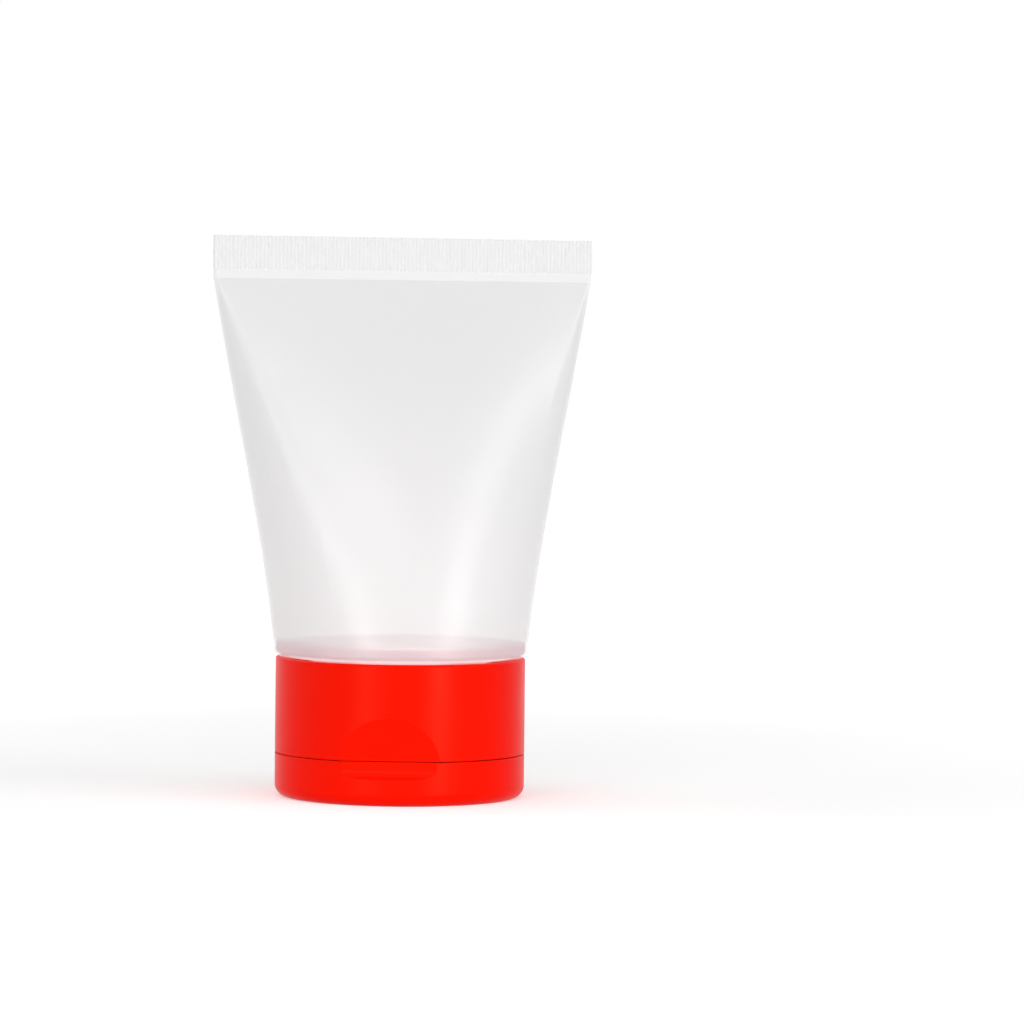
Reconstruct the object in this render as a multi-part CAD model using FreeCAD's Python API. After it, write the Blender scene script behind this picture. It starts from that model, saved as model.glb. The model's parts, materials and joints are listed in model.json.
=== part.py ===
"""Travel squeeze tube that stands on its flip-top cap.

Millimetres, +Z up. The origin is the centre of the lid's flat outer face, on
which the closed tube stands. The cap's thumb recess faces -Y and its living
hinge is at +Y. The tube's flat end seal is at the top.
"""

import FreeCAD, Part
import math
import os

from FreeCAD import Vector

# Tube: a thin sleeve that is round at the cap and pressed flat at the seal
tube_diameter = 50.0
sleeve_wall = 0.5
overall_height = 109.5
seal_height = 8.0
seal_band_height = 1.4
ridge_pitch = 0.78
ridge_rise = 0.13
seal_turn = 24.0
side_slimming = 0.05
face_crown_angle = 50.0
seal_crown_angle = 0.2
sleeve_foot_height = 2.6
sleeve_curl_radius = 1.3
sleeve_curl_lip = 0.5
seal_slit = 0.1

# Moulded head inside the sleeve's foot: shoulder and neck
weld_gap = 0.05
head_rim_wall = 1.0
shoulder_wall = 1.3
shoulder_drop = 2.4
neck_radius = 10.0
neck_wall = 2.2
neck_length = 13.0
snap_bead_rise = 0.8
snap_bead_height = 1.8
snap_bead_from_end = 2.0

# Cap base: skirt, deck, collar on the neck and plug in the neck's bore
cap_set_back = 0.5
cap_wall = 1.4
base_height = 18.8
cap_top_gap = 0.2
cap_top_rounding = 0.4
ledge_width = 2.6
ledge_thickness = 1.5
deck_thickness = 1.4
plateau_rise = 1.7
plateau_rounding = 0.7
spout_bore_radius = 2.3
spout_lip_radius = 3.5
spout_foot_radius = 6.2
spout_rise = 1.2
collar_wall = 1.4
collar_lip_height = 2.0
snap_clearance = 0.2
plug_wall = 1.0
plug_length = 3.5
plug_clearance = 0.15

# Lid: a shallow bowl with the pin that closes the spout
lid_height = 8.6
lid_floor = 1.3
lid_corner_radius = 2.4
lid_inner_radius = 2.2
lid_draft = 0.3
seam_gap = 0.12
edge_break = 0.15
lid_clearance = 0.25
pin_foot_radius = 2.45
pin_seal_radius = 2.15
pin_tip_radius = 1.6
pin_depth = 3.6
pin_hollow_radius = 0.9
pin_hollow_depth = 1.4

# Thumb recess across the seam, opposite the hinge
recess_depth = 2.15
recess_rise = 8.5
recess_centre_drop = 1.8
recess_backing = 1.2
lid_recess_depth = 1.8
lid_recess_drop = 3.3
lid_recess_rounding = 1.7

# Living hinge: one stiff strap between two thin films
strap_width = 18.0
strap_thickness = 0.9
strap_reach = 2.7
strap_sink = 0.9
strap_clearance = 0.05
film_thickness = 0.3
film_bevel = 0.6
hinge_land_height = 1.8
hinge_backing = 1.2

# Roundings of moulded edges and inside corners
fine_round = 0.2
edge_round = 0.4
corner_round = 0.5
root_round = 0.8
mound_round = 1.6

axis_origin = Vector(0, 0, 0)
axis_up = Vector(0, 0, 1)
far = 200.0

# Levels and radii that follow from the sizes above
tube_radius = tube_diameter / 2
cap_radius = tube_radius - cap_set_back
seam_z = lid_height
ledge_z = seam_z + seam_gap
plateau_z = ledge_z - plateau_rise
spout_z = plateau_z - spout_rise
cap_top_z = seam_z + base_height
sleeve_bottom_z = cap_top_z + cap_top_gap
sleeve_foot_z = sleeve_bottom_z + sleeve_foot_height
seal_z = overall_height - seal_height
plateau_radius = cap_radius - ledge_width
lid_rim_radius = plateau_radius + lid_clearance
strap_outer_y = cap_radius - strap_sink
strap_inner_y = strap_outer_y - strap_thickness
strap_top_z = seam_z + strap_reach
strap_bottom_z = seam_z - strap_reach


def rounded_wire(corners):
    """Closed wire in the XZ plane through (x, z) or (x, z, radius) corners."""
    points = [Vector(corner[0], 0, corner[1]) for corner in corners]
    radii = [corner[2] if len(corner) > 2 else 0.0 for corner in corners]
    count = len(points)
    bends = []
    for index, point in enumerate(points):
        back = (points[index - 1] - point).normalize()
        ahead = (points[(index + 1) % count] - point).normalize()
        radius = radii[index]
        if radius <= 0:
            bends.append((point, None, point))
            continue
        half_angle = back.getAngle(ahead) / 2
        reach = radius / math.tan(half_angle)
        centre = point + (back + ahead).normalize() * (radius / math.sin(half_angle))
        middle = centre + (point - centre).normalize() * radius
        bends.append((point + back * reach, middle, point + ahead * reach))
    edges = []
    for index, (start, middle, end) in enumerate(bends):
        if middle is not None:
            edges.append(Part.Arc(start, middle, end).toShape())
        following = bends[(index + 1) % count][0]
        if end.distanceToPoint(following) > 1e-6:
            edges.append(Part.LineSegment(end, following).toShape())
    return Part.Wire(edges)


def turned(corners):
    """Solid of revolution about Z from an outline of (radius, z) corners."""
    return Part.Face(rounded_wire(corners)).revolve(axis_origin, axis_up, 360)


def across(corners, width):
    """Solid with a (y, z) outline, extruded along X to both sides of the centre."""
    face = Part.Face(rounded_wire(corners))
    face.rotate(axis_origin, axis_up, 90)
    face.translate(Vector(width / 2, 0, 0))
    return face.extrude(Vector(-width, 0, 0))


def upright_cylinder(radius, bottom, top):
    """Solid cylinder on the main axis between two levels."""
    return Part.makeCylinder(radius, top - bottom, Vector(0, 0, bottom), axis_up)


def sleeve_section(share, inset):
    """Four-arc oval of constant girth, at a share of the way from foot to seal.

    Its end arcs shrink from the tube's radius to one wall, while the arcs of
    the front and back faces straighten. The inset moves the oval inwards.
    """
    shrink = (1 - share) * (1 - side_slimming * share)
    end_radius = sleeve_wall + (tube_radius - sleeve_wall) * shrink
    crown = math.radians(face_crown_angle * (1 - share) + seal_crown_angle)
    end_centre = math.pi / 2 * (tube_radius - end_radius) * math.sin(crown) / crown
    face_radius = end_radius + end_centre / math.sin(crown)
    face_centre = end_centre / math.tan(crown)
    level = sleeve_foot_z + (seal_z - sleeve_foot_z) * share
    end_radius -= inset
    face_radius -= inset
    join_x = end_centre + end_radius * math.sin(crown)
    join_y = end_radius * math.cos(crown)
    right = Vector(end_centre + end_radius, 0, level)
    left = Vector(-end_centre - end_radius, 0, level)
    back = Vector(0, face_radius - face_centre, level)
    front = Vector(0, face_centre - face_radius, level)
    joins = [Vector(join_x, join_y, level), Vector(-join_x, join_y, level),
             Vector(-join_x, -join_y, level), Vector(join_x, -join_y, level)]
    middles = [back, left, front, right]
    edges = [Part.Arc(joins[turn], middles[turn], joins[(turn + 1) % 4]).toShape() for turn in range(4)]
    return Part.Wire(edges)


def end_seal():
    """Flat welded end: a smooth band below a corrugated, ridged strip."""
    band = Part.Face(sleeve_section(1.0, 0.0)).extrude(Vector(0, 0, seal_band_height))
    half_width = sleeve_section(1.0, 0.0).BoundBox.XLength / 2
    ridge_count = int(round(2 * half_width / ridge_pitch))
    step = half_width / ridge_count
    bottom = seal_z + seal_band_height
    front, back = [], []
    for index in range(2 * ridge_count + 1):
        swing = ridge_rise if index % 2 else -ridge_rise
        x = -half_width + index * step
        front.append(Vector(x, swing - sleeve_wall, bottom))
        back.append(Vector(x, swing + sleeve_wall, bottom))
    outline = Part.makePolygon(front + back[::-1] + front[:1])
    ridges = Part.Face(outline).extrude(Vector(0, 0, overall_height - bottom))
    return band.fuse(ridges)


def make_tube_sleeve():
    """Extruded sleeve: curled foot round the head, flattening body, end seal."""
    shares = [0.0, 0.12, 0.28, 0.46, 0.64, 0.8, 0.92, 1.0]
    slit_end = 1 - seal_slit / (tube_radius - sleeve_wall)
    outside = Part.makeLoft([sleeve_section(share, 0.0) for share in shares], True, False)
    inner_shares = shares[:-1] + [slit_end]
    inside = Part.makeLoft([sleeve_section(share, sleeve_wall) for share in inner_shares], True, False)
    body = outside.cut(inside)
    curl_x = tube_radius - sleeve_curl_radius
    foot = turned([
        (tube_radius, sleeve_foot_z),
        (tube_radius, sleeve_bottom_z, sleeve_curl_radius),
        (curl_x - sleeve_curl_lip, sleeve_bottom_z),
        (curl_x - sleeve_curl_lip, sleeve_bottom_z + sleeve_wall),
        (tube_radius - sleeve_wall, sleeve_bottom_z + sleeve_wall, sleeve_curl_radius - sleeve_wall),
        (tube_radius - sleeve_wall, sleeve_foot_z),
    ])
    sleeve = body.fuse([foot, end_seal()]).removeSplitter()
    sleeve.rotate(axis_origin, axis_up, seal_turn)
    return sleeve


def neck_levels():
    """Neck root, neck end and the snap bead's lower and upper levels."""
    root = sleeve_bottom_z - shoulder_drop
    end = root - neck_length
    bead_low = end + snap_bead_from_end
    return root, end, bead_low, bead_low + snap_bead_height


def make_tube_head():
    """Moulded head: rim in the sleeve's foot, sloping shoulder, neck with a snap bead."""
    root, end, bead_low, bead_high = neck_levels()
    rim_radius = tube_radius - sleeve_wall - weld_gap
    rim_bottom = sleeve_bottom_z + sleeve_wall + weld_gap
    rim_corner = sleeve_curl_radius - sleeve_wall - weld_gap
    turn_in = tube_radius - sleeve_curl_radius - sleeve_curl_lip
    bead_radius = neck_radius + snap_bead_rise
    bore = neck_radius - neck_wall
    return turned([
        (rim_radius, sleeve_foot_z),
        (rim_radius, rim_bottom, rim_corner),
        (turn_in, rim_bottom),
        (turn_in - shoulder_wall, rim_bottom - shoulder_wall / 2, corner_round),
        (neck_radius, root, root_round),
        (neck_radius, bead_high),
        (bead_radius, bead_high - snap_bead_rise / 2),
        (bead_radius, bead_low + snap_bead_rise / 2),
        (neck_radius, bead_low),
        (neck_radius, end, edge_round),
        (bore, end, edge_round),
        (bore, root + shoulder_wall, root_round),
        (rim_radius - head_rim_wall, rim_bottom + shoulder_wall, corner_round),
        (rim_radius - head_rim_wall, sleeve_foot_z),
    ])


def thumb_cutter():
    """Concave scoop across the front of the skirt, above the seam."""
    centre_z = seam_z - recess_centre_drop
    rise = recess_rise + recess_centre_drop
    radius = (rise ** 2 + recess_depth ** 2) / (2 * recess_depth)
    centre = Vector(-far / 2, recess_depth - cap_radius - radius, centre_z)
    scoop = Part.makeCylinder(radius, far, centre, Vector(1, 0, 0))
    backing = Part.makeCylinder(radius + recess_backing, far, centre, Vector(1, 0, 0))
    return scoop, backing


def hinge_cutter():
    """Room for the strap: a notch above the seam and a flat land above the film."""
    notch_y = strap_inner_y - strap_clearance
    land_top = strap_top_z + hinge_land_height
    return across([
        (notch_y, ledge_z - far),
        (notch_y, strap_top_z),
        (strap_outer_y, strap_top_z),
        (strap_outer_y, land_top),
        (strap_outer_y + far, land_top + far),
        (strap_outer_y + far, ledge_z - far),
    ], far)


def make_cap_base():
    """Cap base: skirt, stepped deck with the spout, collar and plug."""
    root, end, bead_low, bead_high = neck_levels()
    deck_inner_z = plateau_z + deck_thickness
    ledge_inner_z = ledge_z + ledge_thickness
    step_radius = plateau_radius - deck_thickness
    skirt_inner = cap_radius - cap_wall
    collar_inner = neck_radius + snap_clearance
    groove_radius = neck_radius + snap_bead_rise + snap_clearance
    collar_outer = groove_radius + collar_wall
    collar_top = bead_high + snap_clearance + collar_lip_height
    plug_outer = neck_radius - neck_wall - plug_clearance
    plug_top = end + plug_length
    base = turned([
        (spout_bore_radius, spout_z, fine_round),
        (spout_lip_radius, spout_z, corner_round),
        ((spout_lip_radius + spout_foot_radius) / 2, plateau_z, mound_round),
        (plateau_radius, plateau_z, plateau_rounding),
        (plateau_radius, ledge_z, edge_round),
        (cap_radius, ledge_z, edge_break),
        (cap_radius, cap_top_z, cap_top_rounding),
        (skirt_inner, cap_top_z, cap_top_rounding),
        (skirt_inner, ledge_inner_z, root_round),
        (step_radius, ledge_inner_z, corner_round),
        (step_radius, deck_inner_z, corner_round),
        (collar_outer, deck_inner_z, corner_round),
        (collar_outer, collar_top, edge_round),
        (collar_inner, collar_top, corner_round),
        (collar_inner, bead_high + snap_clearance),
        (groove_radius, bead_high + snap_clearance - snap_bead_rise / 2),
        (groove_radius, end - snap_clearance),
        (plug_outer, end - snap_clearance),
        (plug_outer, plug_top, edge_round),
        (plug_outer - plug_wall, plug_top, edge_round),
        (plug_outer - plug_wall, deck_inner_z, corner_round),
        (spout_bore_radius, deck_inner_z, fine_round),
    ])
    room = upright_cylinder(cap_radius - cap_wall / 2, ledge_z + ledge_thickness / 2, cap_top_z - cap_wall)
    scoop, scoop_backing = thumb_cutter()
    thumb_pad = room.common(scoop_backing)
    hinge_pad = room.common(across([
        (strap_inner_y - hinge_backing, ledge_z),
        (strap_inner_y - hinge_backing, strap_top_z + hinge_backing),
        (cap_radius, strap_top_z + hinge_backing + cap_wall),
        (cap_radius, ledge_z),
    ], strap_width + 2 * hinge_backing))
    below = upright_cylinder(far, ledge_z - far, ledge_z)
    base = base.fuse([thumb_pad, hinge_pad])
    return base.cut([scoop.cut(below), hinge_cutter()]).removeSplitter()


def make_flip_lid():
    """Lid: shallow bowl with a finger scoop at the front and the spout's pin."""
    tip_z = spout_z + pin_depth
    lid = turned([
        (0, 0),
        (cap_radius, 0, lid_corner_radius),
        (cap_radius, seam_z, edge_break),
        (lid_rim_radius, seam_z, edge_round),
        (lid_rim_radius - lid_draft, lid_floor, lid_inner_radius),
        (pin_foot_radius, lid_floor, corner_round),
        (pin_seal_radius, spout_z),
        (pin_tip_radius, tip_z, edge_round),
        (pin_hollow_radius, tip_z, fine_round),
        (pin_hollow_radius, tip_z - pin_hollow_depth),
        (0, tip_z - pin_hollow_depth),
    ])
    scoop_y = lid_recess_depth - cap_radius
    scoop_z = seam_z - lid_recess_drop
    finger_scoop = across([
        (scoop_y, seam_z + far),
        (scoop_y, scoop_z, lid_recess_rounding),
        (scoop_y - far, scoop_z),
        (scoop_y - far, seam_z + far),
    ], far)
    wall_y = strap_inner_y - strap_clearance
    strap_seat = across([
        (wall_y, seam_z + far),
        (wall_y, strap_bottom_z),
        (strap_outer_y, strap_bottom_z),
        (strap_outer_y, strap_bottom_z - hinge_land_height),
        (strap_outer_y + far, strap_bottom_z - hinge_land_height - far),
        (strap_outer_y + far, seam_z + far),
    ], far)
    return lid.cut([finger_scoop, strap_seat]).removeSplitter()


def make_hinge_strap():
    """Strap of the living hinge, thinned to a film along both ends."""
    film_y = strap_outer_y - film_thickness
    top = strap_top_z - strap_clearance
    bottom = strap_bottom_z + strap_clearance
    plate = across([
        (strap_outer_y, bottom),
        (strap_outer_y, top),
        (film_y, top),
        (strap_inner_y, top - film_bevel),
        (strap_inner_y, bottom + film_bevel),
        (film_y, bottom),
    ], strap_width)
    return plate.common(upright_cylinder(cap_radius, bottom, top))


makers = {
    "tube_sleeve": make_tube_sleeve,
    "tube_head": make_tube_head,
    "cap_base": make_cap_base,
    "hinge_strap": make_hinge_strap,
    "flip_lid": make_flip_lid,
}

os.makedirs("parts", exist_ok=True)
for node, maker in makers.items():
    shape = maker()
    if len(shape.Solids) != 1 or not shape.isValid():
        raise ValueError(f"{node} is not one valid solid: {len(shape.Solids)}")
    shape.Solids[0].exportStep(f"parts/{node}.step")
    box = shape.BoundBox
    print(f"{node}: {shape.Volume:.0f} mm3, {box.XLength:.2f} x {box.YLength:.2f} x {box.ZLength:.2f},"
          f" z {box.ZMin:.2f} to {box.ZMax:.2f}")
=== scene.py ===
"""Looks of a travel squeeze tube that stands on its flip-top cap.

Metres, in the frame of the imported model: +Z up, the thumb recess faces -Y and
the living hinge is at +Y. The sleeve is frosted, translucent plastic and the
cap is red plastic, satin outside and polished inside.
"""

import json
import math

import bmesh
import bpy
from bpy.props import FloatProperty, FloatVectorProperty, IntProperty, PointerProperty
from mathutils import Matrix, Vector


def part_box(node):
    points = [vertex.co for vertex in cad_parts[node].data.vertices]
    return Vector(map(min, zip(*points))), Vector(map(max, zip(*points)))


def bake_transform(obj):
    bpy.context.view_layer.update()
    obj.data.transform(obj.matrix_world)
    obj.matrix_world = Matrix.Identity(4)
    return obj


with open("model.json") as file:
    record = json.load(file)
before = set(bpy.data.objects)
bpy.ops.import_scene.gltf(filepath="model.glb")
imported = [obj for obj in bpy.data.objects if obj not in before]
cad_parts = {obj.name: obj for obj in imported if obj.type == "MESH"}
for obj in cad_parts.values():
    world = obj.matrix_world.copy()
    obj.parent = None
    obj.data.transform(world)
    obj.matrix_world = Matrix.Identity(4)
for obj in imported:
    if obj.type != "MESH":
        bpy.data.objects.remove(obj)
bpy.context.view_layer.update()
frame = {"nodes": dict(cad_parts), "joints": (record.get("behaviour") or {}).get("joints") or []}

bl_info = {
    "name": "Travel Squeeze Tube",
    "version": (1, 0, 0),
    "blender": (4, 5, 0),
    "location": "View3D > Sidebar > Squeeze Tube",
    "description": "Finishes a frosted squeeze tube with a flip-top cap and lights it",
    "category": "Object",
}

MILLIMETRE = 0.001
IMAGE_SIDE = 1024
FULL_FRAME_WIDTH = 36.0
PLASTIC_IOR = 1.5
WHITE = (1.0, 1.0, 1.0, 1.0)


class SleeveSettings(bpy.types.PropertyGroup):
    """Finish of the frosted sleeve and of the head inside its foot."""

    colour: FloatVectorProperty(
        name="Colour", description="Colour of the frosted plastic", subtype="COLOR",
        size=3, min=0.0, max=1.0, default=(0.87, 0.872, 0.875))
    cover: FloatProperty(
        name="Cover", description="Share of light that one wall of the sleeve stops",
        min=0.0, max=1.0, default=0.8)
    clearness: FloatProperty(
        name="Clearness", description="Share of the stopped light that the plastic lets through, blurred",
        min=0.0, max=1.0, default=0.2)
    # Painted light: the head's colour is tinted pink, so the red cap's light that shows through the
    # translucent head is painted into it.
    head_colour_with_painted_red: FloatVectorProperty(
        name="Head colour", description="Colour of the head, through which the red cap shows",
        subtype="COLOR", size=3, min=0.0, max=1.0, default=(0.72, 0.4, 0.45))
    head_cover: FloatProperty(
        name="Head cover", description="Share of light that one wall of the head stops",
        min=0.0, max=1.0, default=0.9)
    foot_cover: FloatProperty(
        name="Foot cover", description="Share of light that the sleeve stops where it touches the head",
        min=0.0, max=1.0, default=0.5)
    foot_cover_height: FloatProperty(
        name="Foot cover height", description="Height at which the wall's full cover is reached",
        unit="LENGTH", default=0.0045)
    # Painted glow: this and the next setting give the foot's curled edge a faint white emission, a pale
    # line that stands in for light leaving the wall's edge.
    foot_painted_glow: FloatProperty(
        name="Foot glow", description="Strength of the pale line along the foot's curled edge",
        min=0.0, default=0.4)
    foot_painted_glow_height: FloatProperty(
        name="Foot glow height", description="Height of the pale line", unit="LENGTH", default=0.0008)
    seal_height: FloatProperty(
        name="Seal height", description="Height of the welded seal's ridges", unit="LENGTH", default=0.008)
    seal_cover: FloatProperty(
        name="Seal cover", description="Share of light that the welded seal stops",
        min=0.0, max=1.0, default=0.97)
    seal_roughness: FloatProperty(
        name="Seal roughness", description="Roughness that the pressed seal adds",
        min=0.0, max=1.0, default=0.3)
    roughness: FloatProperty(
        name="Roughness", description="Roughness of the frosted face", min=0.0, max=1.0, default=0.31)
    roughness_change: FloatProperty(
        name="Roughness change", description="How far handling moves the roughness up or down",
        min=0.0, max=1.0, default=0.03)
    grain_size: FloatProperty(
        name="Grain size", description="Width of one grain of the frosted face",
        unit="LENGTH", min=0.00001, default=0.00035)
    grain_depth: FloatProperty(
        name="Grain depth", description="Height of the frosted grain", unit="LENGTH", default=0.00001)
    ripple_size: FloatProperty(
        name="Ripple size", description="Width of the soft waves in the sleeve's wall",
        unit="LENGTH", min=0.001, default=0.014)
    ripple_depth: FloatProperty(
        name="Ripple depth", description="Height of the soft waves", unit="LENGTH", default=0.00012)


class CapSettings(bpy.types.PropertyGroup):
    """Finish of the red flip-top cap."""

    colour: FloatVectorProperty(
        name="Colour", description="Colour of the cap's plastic", subtype="COLOR",
        size=3, min=0.0, max=1.0, default=(0.90, 0.0055, 0.0))
    shine: FloatProperty(
        name="Shine", description="Strength of the cap's reflections", min=0.0, max=1.0, default=0.06)
    shine_tint: FloatVectorProperty(
        name="Shine tint", description="Colour of the cap's reflections", subtype="COLOR",
        size=3, min=0.0, max=1.0, default=(1.0, 0.9, 0.5))
    satin: FloatProperty(
        name="Satin roughness", description="Roughness of the cap's outside",
        min=0.0, max=1.0, default=0.28)
    satin_depth: FloatProperty(
        name="Satin depth", description="How far inward from the skirt the outside finish reaches",
        unit="LENGTH", default=0.0022)
    polish: FloatProperty(
        name="Polished roughness", description="Roughness of the faces inside the cap",
        min=0.0, max=1.0, default=0.17)
    roughness_change: FloatProperty(
        name="Roughness change", description="Roughness that handling adds",
        min=0.0, max=1.0, default=0.05)
    grain_size: FloatProperty(
        name="Grain size", description="Width of one grain of the moulded face",
        unit="LENGTH", min=0.00001, default=0.00025)
    grain_depth: FloatProperty(
        name="Grain depth", description="Height of the moulded grain", unit="LENGTH", default=0.000004)


class HingeSettings(bpy.types.PropertyGroup):
    """Sizes of the two films of the living hinge."""

    film_thickness: FloatProperty(
        name="Film thickness", description="Thickness of the living hinge's films",
        unit="LENGTH", default=0.00026)
    film_reach: FloatProperty(
        name="Film reach", description="How far a film reaches to each side of its fold line",
        unit="LENGTH", default=0.00025)
    film_lift: FloatProperty(
        name="Film lift", description="How far a film stands out from the strap's face",
        unit="LENGTH", default=0.00001)
    film_set_back: FloatProperty(
        name="Film set-back", description="How far a film stops short of the strap's ends",
        unit="LENGTH", default=0.00002)
    film_steps: IntProperty(
        name="Film steps", description="Faces along the bend of a film", min=2, default=12)


class StudioSettings(bpy.types.PropertyGroup):
    """Camera, floor and surroundings."""

    distance: FloatProperty(
        name="Distance", description="From the tube's axis to the camera",
        unit="LENGTH", default=1.0)
    height: FloatProperty(
        name="Height", description="Height of the camera above the floor",
        unit="LENGTH", default=0.095)
    side: FloatProperty(
        name="Side", description="How far right of the tube's axis the camera stands",
        unit="LENGTH", default=0.02156)
    azimuth: FloatProperty(
        name="Azimuth", description="Turn of the camera round the tube, from the recess to the right",
        subtype="ANGLE", default=math.radians(3.73))
    pitch: FloatProperty(
        name="Pitch", description="Tilt of the camera below the horizon",
        subtype="ANGLE", default=math.radians(2.23))
    roll: FloatProperty(
        name="Roll", description="Roll of the camera, which leans the tube to the right",
        subtype="ANGLE", default=math.radians(0.65))
    focal_pixels: FloatProperty(
        name="Focal length", description="Focal length in pixels of the photograph's frame",
        default=5102.5)
    floor_colour: FloatVectorProperty(
        name="Floor colour", description="Colour of the pale floor", subtype="COLOR",
        size=3, min=0.0, max=1.0, default=(0.9, 0.9, 0.9))
    floor_reach: FloatProperty(
        name="Floor reach", description="From the tube to the floor's edge", unit="LENGTH", default=3.0)
    near_lift: FloatProperty(
        name="Near lift", description="Brightness that the camera adds to the floor near the tube",
        min=0.0, default=0.4)
    far_lift: FloatProperty(
        name="Far lift", description="Brightness that the camera adds to the floor far from the tube",
        min=0.0, default=0.72)
    surroundings: FloatProperty(
        name="Surroundings", description="Light that the white surroundings give", min=0.0, default=0.31)


def emptied_tree(owner):
    """The emptied node tree of a material or world."""
    owner.use_nodes = True
    owner.node_tree.nodes.clear()
    return owner.node_tree


def add_node(tree, kind, settings=None, **inputs):
    """A new node with its settings, and its inputs set or linked by name."""
    node = tree.nodes.new(kind)
    for name, value in (settings or {}).items():
        setattr(node, name, value)
    for name, value in inputs.items():
        number = name[1:]
        socket = node.inputs[int(number) if number.isdigit() else name.replace("_", " ")]
        if isinstance(value, bpy.types.NodeSocket):
            tree.links.new(value, socket)
        else:
            socket.default_value = value
    return node


def math_node(tree, operation, first, second=0.0, third=0.0):
    """Output of a Math node."""
    node = add_node(tree, "ShaderNodeMath", {"operation": operation}, _0=first, _1=second, _2=third)
    return node.outputs[0]


def ramp(tree, value, low, high, to_low=0.0, to_high=1.0):
    """Output of a smooth Map Range node."""
    settings = {"interpolation_type": "SMOOTHSTEP"}
    node = add_node(tree, "ShaderNodeMapRange", settings, Value=value, From_Min=low,
                    From_Max=high, To_Min=to_low, To_Max=to_high)
    return node.outputs[0]


def output_from(tree, shader, kind="ShaderNodeOutputMaterial"):
    """Leads a shader to the tree's output."""
    output = add_node(tree, kind)
    tree.links.new(shader.outputs[0], output.inputs["Surface"])


def place(tree):
    """Object coordinates, which stay with the piece when it moves."""
    return add_node(tree, "ShaderNodeTexCoord").outputs["Object"]


def new_group(name, socket, default, result):
    """Shader node group with one input and one output, and its two end nodes."""
    group = bpy.data.node_groups.new(name, "ShaderNodeTree")
    made = group.interface.new_socket(name=socket, in_out="INPUT", socket_type="NodeSocketFloat")
    made.default_value = default
    group.interface.new_socket(name=result, in_out="OUTPUT", socket_type="NodeSocketFloat")
    return group, group.nodes.new("NodeGroupInput"), group.nodes.new("NodeGroupOutput")


def grain_group():
    """Fine grain of a moulded or frosted face, as a height."""
    found = bpy.data.node_groups.get("moulded_grain")
    if found:
        return found
    group, start, end = new_group("moulded_grain", "Grains per metre", 3000.0, "Height")
    where = place(group)
    scale = start.outputs["Grains per metre"]
    coarse_scale = 0.31
    coarse_height = 0.5
    fine = add_node(group, "ShaderNodeTexNoise", Vector=where, Scale=scale, Detail=2.0, Roughness=0.6)
    coarse = add_node(group, "ShaderNodeTexNoise", Vector=where, Detail=1.0,
                      Scale=math_node(group, "MULTIPLY", scale, coarse_scale))
    height = math_node(group, "MULTIPLY_ADD", coarse.outputs[0], coarse_height, fine.outputs[0])
    group.links.new(height, end.inputs["Height"])
    return group


def handling_group():
    """Slow change over a surface from flow in the mould and handling, from 0 to 1."""
    found = bpy.data.node_groups.get("handling_haze")
    if found:
        return found
    group, start, end = new_group("handling_haze", "Patches per metre", 60.0, "Haze")
    patches = add_node(group, "ShaderNodeTexNoise", Vector=place(group),
                       Scale=start.outputs["Patches per metre"], Detail=3.0, Roughness=0.55)
    clear, hazy = 0.3, 0.7
    group.links.new(ramp(group, patches.outputs[0], clear, hazy), end.inputs["Haze"])
    return group


def use_group(tree, group, **inputs):
    """Output of a placed node group with its own values."""
    node = add_node(tree, "ShaderNodeGroup", {"node_tree": group}, **inputs)
    return node.outputs[0]


def bump_node(tree, height, depth, **inputs):
    """Normal of a surface with a height of the given depth."""
    node = add_node(tree, "ShaderNodeBump", Strength=1.0, Distance=depth, Height=height, **inputs)
    return node.outputs[0]


def counted_once(tree, alpha):
    """Cover that a ray meets only where it enters the wall, and not where it leaves."""
    geometry = add_node(tree, "ShaderNodeNewGeometry")
    entering = math_node(tree, "SUBTRACT", 1.0, geometry.outputs["Backfacing"])
    return math_node(tree, "MULTIPLY", alpha, entering)


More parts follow.
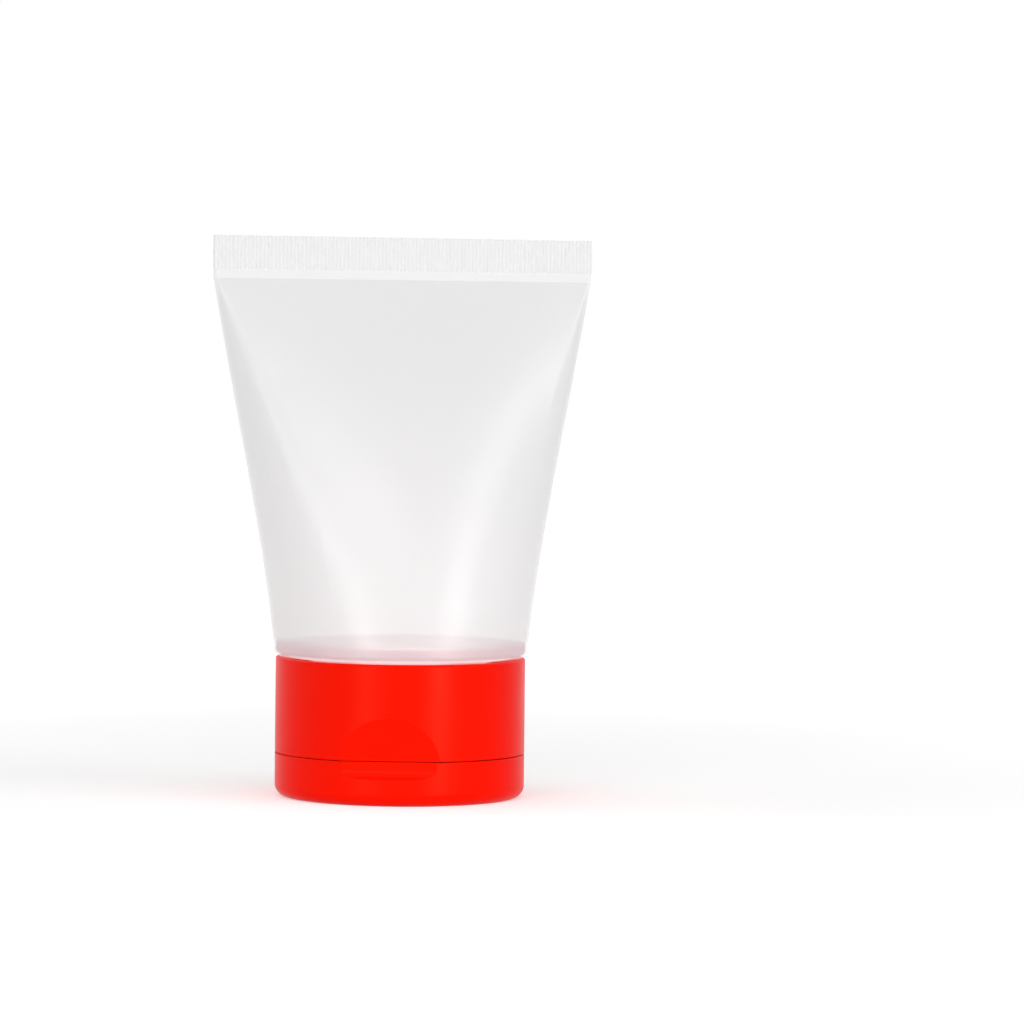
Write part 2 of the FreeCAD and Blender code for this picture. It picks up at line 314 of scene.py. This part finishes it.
def frosted_plastic(name, colour, cover, foot_cover, settings):
    """Frosted, translucent polyethylene with a soft sheen, denser at the welded seal, and a painted glow
    along the foot's curled edge.
    """
    material = bpy.data.materials.new(name)
    tree = emptied_tree(material)
    height = add_node(tree, "ShaderNodeSeparateXYZ", Vector=place(tree)).outputs["Z"]
    sleeve_foot, sleeve_top = (corner.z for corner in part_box("tube_sleeve"))
    seal = sleeve_top - settings.seal_height
    seal_blend = 0.5 * MILLIMETRE
    at_seal = ramp(tree, height, seal - seal_blend, seal)

    haze = use_group(tree, handling_group(), Patches_per_metre=45.0)
    rough = ramp(tree, haze, 0.0, 1.0, settings.roughness - settings.roughness_change,
                 settings.roughness + settings.roughness_change)
    rough = math_node(tree, "MULTIPLY_ADD", at_seal, settings.seal_roughness, rough)

    ripple = add_node(tree, "ShaderNodeTexNoise", Vector=place(tree), Scale=1.0 / settings.ripple_size,
                      Detail=1.0)
    waves = bump_node(tree, ripple.outputs[0], settings.ripple_depth)
    grain = use_group(tree, grain_group(), Grains_per_metre=1.0 / settings.grain_size)
    grain = math_node(tree, "MULTIPLY", grain, math_node(tree, "SUBTRACT", 1.0, at_seal))
    normal = bump_node(tree, grain, settings.grain_depth, Normal=waves)

    # Painted glow: a white emission that fades upward from the foot's curled edge, a pale line in place of
    # edge light.
    glow_start = sleeve_foot + 0.2 * MILLIMETRE
    glow_end = sleeve_foot + settings.foot_painted_glow_height
    painted_glow = ramp(tree, height, glow_start, glow_end, settings.foot_painted_glow, 0.0)
    cover_start = sleeve_foot + 1.5 * MILLIMETRE
    cover_end = sleeve_foot + settings.foot_cover_height
    alpha = ramp(tree, height, cover_start, cover_end, foot_cover, cover)
    alpha = ramp(tree, at_seal, 0.0, 1.0, alpha, settings.seal_cover)

    shader = add_node(tree, "ShaderNodeBsdfPrincipled", Base_Color=(*colour, 1.0), Roughness=rough,
                      IOR=PLASTIC_IOR, Normal=normal, Emission_Color=painted_glow, Emission_Strength=1.0,
                      Transmission_Weight=settings.clearness, Alpha=counted_once(tree, alpha))
    output_from(tree, shader)
    return material


def red_plastic(name, settings):
    """Red moulded plastic, satin on the cap's outside and polished within."""
    material = bpy.data.materials.new(name)
    tree = emptied_tree(material)
    split = add_node(tree, "ShaderNodeSeparateXYZ", Vector=place(tree))
    across = math_node(tree, "MULTIPLY", split.outputs["X"], split.outputs["X"])
    across = math_node(tree, "MULTIPLY_ADD", split.outputs["Y"], split.outputs["Y"], across)
    radius = math_node(tree, "SQRT", across)
    satin_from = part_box("cap_base")[1].x - settings.satin_depth
    satin_blend = 0.2 * MILLIMETRE
    outside = ramp(tree, radius, satin_from - satin_blend, satin_from)

    haze = use_group(tree, handling_group(), Patches_per_metre=70.0)
    rough = ramp(tree, outside, 0.0, 1.0, settings.polish, settings.satin)
    rough = math_node(tree, "MULTIPLY_ADD", haze, settings.roughness_change, rough)
    grain = use_group(tree, grain_group(), Grains_per_metre=1.0 / settings.grain_size)

    shader = add_node(tree, "ShaderNodeBsdfPrincipled", Base_Color=(*settings.colour, 1.0),
                      Roughness=rough, IOR=PLASTIC_IOR, Specular_IOR_Level=settings.shine,
                      Specular_Tint=(*settings.shine_tint, 1.0),
                      Normal=bump_node(tree, grain, settings.grain_depth))
    output_from(tree, shader)
    return material


def dress(node, material):
    """Gives a carried-over node its material."""
    for slot in frame["nodes"][node].material_slots:
        slot.material = material


class TUBE_OT_sleeve(bpy.types.Operator):
    """Finish the sleeve and the head inside its foot"""

    bl_idname = "squeeze_tube.sleeve"
    bl_label = "Frosted Sleeve"

    def execute(self, context):
        settings = context.scene.tube_sleeve
        sleeve = frosted_plastic("frosted_sleeve", settings.colour, settings.cover,
                                 settings.foot_cover, settings)
        # The head's colour carries the painted pink of the red cap's light that shows through it.
        head = frosted_plastic("frosted_head", settings.head_colour_with_painted_red, settings.head_cover,
                               settings.head_cover, settings)
        dress("tube_sleeve", sleeve)
        dress("tube_head", head)
        return {"FINISHED"}


class TUBE_OT_cap(bpy.types.Operator):
    """Finish the cap base, the hinge strap and the lid"""

    bl_idname = "squeeze_tube.cap"
    bl_label = "Red Cap"

    def execute(self, context):
        material = red_plastic("red_cap", context.scene.tube_cap)
        for node in ("cap_base", "flip_lid", "hinge_strap"):
            dress(node, material)
        return {"FINISHED"}


def film_mesh(name, level, settings):
    """A thin strip across a fold line, centred on its level."""
    strap_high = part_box("hinge_strap")[1]
    outer = strap_high.y + settings.film_lift
    inner = outer - settings.film_thickness
    half_width = strap_high.x - settings.film_set_back
    corners = [(-half_width, outer), (half_width, outer), (half_width, inner), (-half_width, inner)]
    rings = []
    mesh = bmesh.new()
    for step in range(settings.film_steps + 1):
        z = level + settings.film_reach * (2.0 * step / settings.film_steps - 1.0)
        rings.append([mesh.verts.new((x, y, z)) for x, y in corners])
    for below, above in zip(rings, rings[1:]):
        for index in range(len(corners)):
            following = (index + 1) % len(corners)
            mesh.faces.new((below[index], below[following], above[following], above[index]))
    mesh.faces.new(rings[0][::-1])
    mesh.faces.new(rings[-1])
    bmesh.ops.recalc_face_normals(mesh, faces=mesh.faces)
    data = bpy.data.meshes.new(name)
    mesh.to_mesh(data)
    mesh.free()
    film = bpy.data.objects.new(name, data)
    bpy.context.collection.objects.link(film)
    return film


class TUBE_OT_hinge_films(bpy.types.Operator):
    """Make the two films that join strap, cap base and lid"""

    bl_idname = "squeeze_tube.hinge_films"
    bl_label = "Hinge Films"

    def execute(self, context):
        settings = context.scene.tube_hinge
        folds = {joint["name"]: Vector(joint["pos_m"]) for joint in frame["joints"]}
        for name, joint, above, below in (
                ("upper_hinge_film", "strap_fold", "cap", "strap"),
                ("lower_hinge_film", "lid_fold", "strap", "lid")):
            fold = folds[joint]
            film = film_mesh(name, fold.z, settings)
            film.data.materials.append(bpy.data.materials["red_cap"])
            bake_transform(film)
        return {"FINISHED"}


def towards(azimuth, elevation):
    """Unit vector in degrees: azimuth 0 is in front, at -Y, and grows to the right."""
    turn = math.radians(azimuth)
    rise = math.radians(elevation)
    return Vector((math.sin(turn) * math.cos(rise), -math.cos(turn) * math.cos(rise), math.sin(rise)))


def strip_lamp(name, first, last, width, watts, distance, target, spread=180.0):
    """Area lamp that faces the target and stretches between two directions from it."""
    start, end = (target + towards(*direction) * distance for direction in (first, last))
    centre = (start + end) / 2
    z_axis = (centre - target).normalized()
    y_axis = (end - start).normalized()
    x_axis = y_axis.cross(z_axis)
    data = bpy.data.lights.new(name, "AREA")
    data.shape = "RECTANGLE"
    data.size = width
    data.size_y = (end - start).length
    data.energy = watts
    data.spread = math.radians(spread)
    light = bpy.data.objects.new(name, data)
    turn = Matrix((x_axis, y_axis, z_axis)).transposed().to_4x4()
    light.matrix_world = Matrix.Translation(centre) @ turn
    bpy.context.collection.objects.link(light)


def seen_strength(tree, lighting, seen):
    """Strength that is one value for light and another where the camera looks."""
    path = add_node(tree, "ShaderNodeLightPath")
    direct = math_node(tree, "MAXIMUM", path.outputs["Is Camera Ray"], path.outputs["Is Glossy Ray"])
    direct = math_node(tree, "MAXIMUM", direct, path.outputs["Is Transmission Ray"])
    change = math_node(tree, "SUBTRACT", seen, lighting)
    return math_node(tree, "MULTIPLY_ADD", direct, change, lighting)


class TUBE_OT_studio(bpy.types.Operator):
    """Set the floor, the lamps, the world and the camera"""

    bl_idname = "squeeze_tube.studio"
    bl_label = "Studio"

    def execute(self, context):
        settings = context.scene.tube_studio
        self.make_floor(settings)
        self.make_world(context.scene, settings)
        self.make_lamps()
        self.make_camera(context.scene, settings)
        context.scene.view_settings.view_transform = "Standard"
        return {"FINISHED"}

    def make_floor(self, settings):
        """Large pale floor that stays white around the tube's soft shadow."""
        data = bpy.data.meshes.new("floor")
        side = settings.floor_reach
        corners = [(-side, -side, 0), (side, -side, 0), (side, side, 0), (-side, side, 0)]
        data.from_pydata(corners, [], [(0, 1, 2, 3)])
        floor = bpy.data.objects.new("floor", data)
        bpy.context.collection.objects.link(floor)
        material = bpy.data.materials.new("pale_floor")
        tree = emptied_tree(material)
        radius = add_node(tree, "ShaderNodeVectorMath", {"operation": "LENGTH"}, _0=place(tree))
        near_radius = 0.05
        far_radius = 0.5
        lift = ramp(tree, radius.outputs["Value"], near_radius, far_radius, settings.near_lift,
                    settings.far_lift)
        shader = add_node(tree, "ShaderNodeBsdfPrincipled", Base_Color=(*settings.floor_colour, 1.0),
                          Roughness=0.8, Specular_IOR_Level=0.0, Emission_Color=WHITE,
                          Emission_Strength=seen_strength(tree, 0.0, lift))
        output_from(tree, shader)
        data.materials.append(material)

    def make_world(self, scene, settings):
        """Even white surroundings."""
        world = bpy.data.worlds.new("studio")
        scene.world = world
        tree = emptied_tree(world)
        strength = seen_strength(tree, settings.surroundings, 1.0)
        shader = add_node(tree, "ShaderNodeBackground", Color=WHITE, Strength=strength)
        output_from(tree, shader, "ShaderNodeOutputWorld")

    def make_lamps(self):
        """Two tall leaning strips in front, two low narrow ones, a lamp above and one at the left."""
        middle = Vector((0, 0, 0.06))
        strip_lamp("left_strip", first=(-37, -2), last=(27, 30), width=0.12, watts=2.9,
                   distance=1.2, target=middle)
        strip_lamp("right_strip", first=(37, -2), last=(84, 28), width=0.2, watts=4.2,
                   distance=1.2, target=middle)
        foot = Vector((0, 0, 0.001))
        strip_lamp("left_low_strip", first=(-27, 0), last=(-18, 15), width=0.06, watts=0.0045,
                   distance=0.3, target=foot, spread=30.0)
        strip_lamp("right_low_strip", first=(40, 0), last=(40, 7), width=0.08, watts=0.004,
                   distance=0.3, target=foot, spread=30.0)
        strip_lamp("top_softbox", first=(0, 40), last=(0, 100), width=0.9, watts=1.0,
                   distance=0.9, target=middle)
        strip_lamp("left_softbox", first=(-88, -4), last=(-88, 35), width=1.1, watts=2.1,
                   distance=1.0, target=middle)

    def make_camera(self, scene, settings):
        """Camera at the photograph's viewing angle and framing."""
        data = bpy.data.cameras.new("camera")
        data.sensor_width = FULL_FRAME_WIDTH
        data.lens = settings.focal_pixels / IMAGE_SIDE * FULL_FRAME_WIDTH
        data.clip_start = 0.01
        data.clip_end = 20.0
        camera = bpy.data.objects.new("camera", data)
        bpy.context.collection.objects.link(camera)
        turn = Matrix.Rotation(settings.azimuth, 4, "Z")
        stand = turn @ Vector((settings.side, -settings.distance, settings.height))
        look = Matrix.Rotation(math.pi / 2 - settings.pitch, 4, "X")
        roll = Matrix.Rotation(settings.roll, 4, "Z")
        camera.matrix_world = Matrix.Translation(stand) @ turn @ look @ roll
        scene.camera = camera


class TUBE_PT_sidebar(bpy.types.Panel):
    """Lists the steps and their settings"""

    bl_label = "Squeeze Tube"
    bl_idname = "TUBE_PT_sidebar"
    bl_space_type = "VIEW_3D"
    bl_region_type = "UI"
    bl_category = "Squeeze Tube"

    def draw(self, context):
        layout = self.layout
        for group, step in STEPS.items():
            box = layout.box()
            settings = getattr(context.scene, group)
            for name in settings.__annotations__:
                box.prop(settings, name)
            box.operator(step.bl_idname)


STEPS = {
    "tube_sleeve": TUBE_OT_sleeve,
    "tube_cap": TUBE_OT_cap,
    "tube_hinge": TUBE_OT_hinge_films,
    "tube_studio": TUBE_OT_studio,
}
SETTINGS = {
    "tube_sleeve": SleeveSettings,
    "tube_cap": CapSettings,
    "tube_hinge": HingeSettings,
    "tube_studio": StudioSettings,
}
CLASSES = [*SETTINGS.values(), *STEPS.values(), TUBE_PT_sidebar]


def register():
    for each in CLASSES:
        bpy.utils.register_class(each)
    for name, group in SETTINGS.items():
        setattr(bpy.types.Scene, name, PointerProperty(type=group))


def unregister():
    for name in SETTINGS:
        delattr(bpy.types.Scene, name)
    for each in reversed(CLASSES):
        bpy.utils.unregister_class(each)


def main():
    """Registers the add-on and makes everything in order."""
    register()
    bpy.ops.squeeze_tube.sleeve()
    bpy.ops.squeeze_tube.cap()
    bpy.ops.squeeze_tube.hinge_films()
    bpy.ops.squeeze_tube.studio()


if __name__ == "__main__":
    main()
